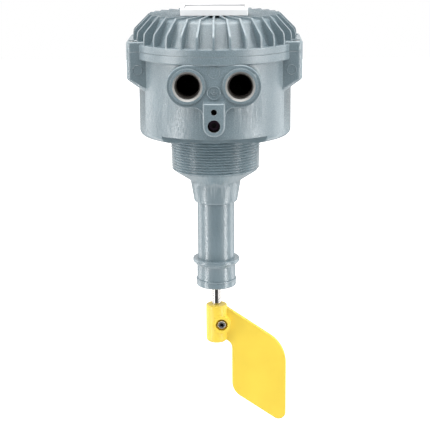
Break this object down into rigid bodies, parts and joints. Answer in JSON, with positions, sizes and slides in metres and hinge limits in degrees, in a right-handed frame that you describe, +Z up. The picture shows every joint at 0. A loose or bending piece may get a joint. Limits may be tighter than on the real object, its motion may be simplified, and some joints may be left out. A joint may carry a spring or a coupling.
{
  "type": "rotary paddle level switch",
  "caption": "Bulk solids level switch: cast housing with ribbed cover and cable entries, threaded process connection, tube, and a motor-driven paddle that stops in material.",
  "frame": {"origin": "on the shaft's axis, in the shoulder plane where the process thread starts", "axes": "+Z up along the shaft's axis towards the cover, the cable entries face -Y, the paddle's vane points to +X at rest"},
  "size_m": [0.1434, 0.143, 0.3662],
  "materials": {
    "painted_casting": "semi-gloss enamel with a fine orange peel over a cast surface",
    "white_tray": "satin",
    "blank_label": "satin",
    "black_rubber": "matt",
    "stainless": "ground",
    "bearing_steel": "polished",
    "spring_steel": "satin",
    "plated_steel": "zinc plated",
    "yellow_plastic": "semi-gloss moulded",
    "dark_screw": "blackened",
    "brass": "turned",
    "motor_shell": "satin",
    "dark_plastic": "moulded"
  },
  "bodies": {
    "frame": {"housing": "painted_casting", "cover": "painted_casting", "process_connection": "painted_casting", "extension_tube": "painted_casting", "tube_plug": "painted_casting", "bearing_carrier": "painted_casting", "end_cap": "painted_casting", "label_holder": "white_tray", "label_plate": "blank_label", "cover_gasket": "black_rubber", "neck_gasket": "black_rubber", "shaft_seal": "black_rubber", "cover_screws": "stainless", "neck_screws": "stainless", "cap_screws": "stainless", "upper_outer_race": "bearing_steel", "lower_outer_race": "bearing_steel", "bearing_balls": "bearing_steel", "bore_circlips": "spring_steel", "torque_spring": "spring_steel", "outer_earth_screw": "dark_screw", "chassis_plate": "plated_steel", "chassis_screws": "plated_steel", "pivot_bush": "brass", "chassis_spring_post": "plated_steel", "swing_stops": "plated_steel", "switch_pedestal": "dark_plastic", "signal_switch": "dark_plastic", "stop_switch": "dark_plastic", "switch_screws": "plated_steel", "terminal_block": "dark_plastic", "terminal_screws": "plated_steel", "terminal_fixings": "plated_steel", "inner_earth_screw": "brass"},
    "motor_unit": {"motor_carrier": "plated_steel", "trip_post": "plated_steel", "carrier_spring_post": "plated_steel", "gearbox": "motor_shell", "motor": "motor_shell", "motor_screws": "plated_steel"},
    "rotor": {"paddle_shaft": "stainless", "lower_coupling": "plated_steel", "upper_coupling": "plated_steel", "output_shaft": "plated_steel", "upper_inner_race": "bearing_steel", "lower_inner_race": "bearing_steel", "shaft_circlips": "spring_steel", "paddle": "yellow_plastic", "paddle_screw": "stainless", "paddle_nut": "stainless"},
    "signal_lever": {"signal_lever": "spring_steel"},
    "stop_lever": {"stop_lever": "spring_steel"}
  },
  "joints": [
    {"name": "paddle_turn", "type": "hinge", "parent": "frame", "child": "rotor", "pos_m": [0, 0, 0], "axis": [0, 0, 1], "continuous": true},
    {"name": "motor_swing", "type": "hinge", "parent": "frame", "child": "motor_unit", "pos_m": [0, 0, 0.0278], "axis": [0, 0, 1], "range_deg": [0, 8], "stiffness_Nm_per_rad": 0.4, "springref_deg": -17.19, "deforming": ["torque_spring"]},
    {"name": "signal_lever_swing", "type": "hinge", "parent": "frame", "child": "signal_lever", "pos_m": [-0.005, 0.05, 0.0352], "axis": [0, 0, -1], "range_deg": [0, 10]},
    {"name": "stop_lever_swing", "type": "hinge", "parent": "frame", "child": "stop_lever", "pos_m": [-0.005, 0.05, 0.0419], "axis": [0, 0, -1], "range_deg": [0, 10]}
  ],
  "couplings": [
    {"joint": "signal_lever_swing", "follows": "motor_swing", "ratio": 1.25},
    {"joint": "stop_lever_swing", "follows": "motor_swing", "ratio": 1.25}
  ]
}
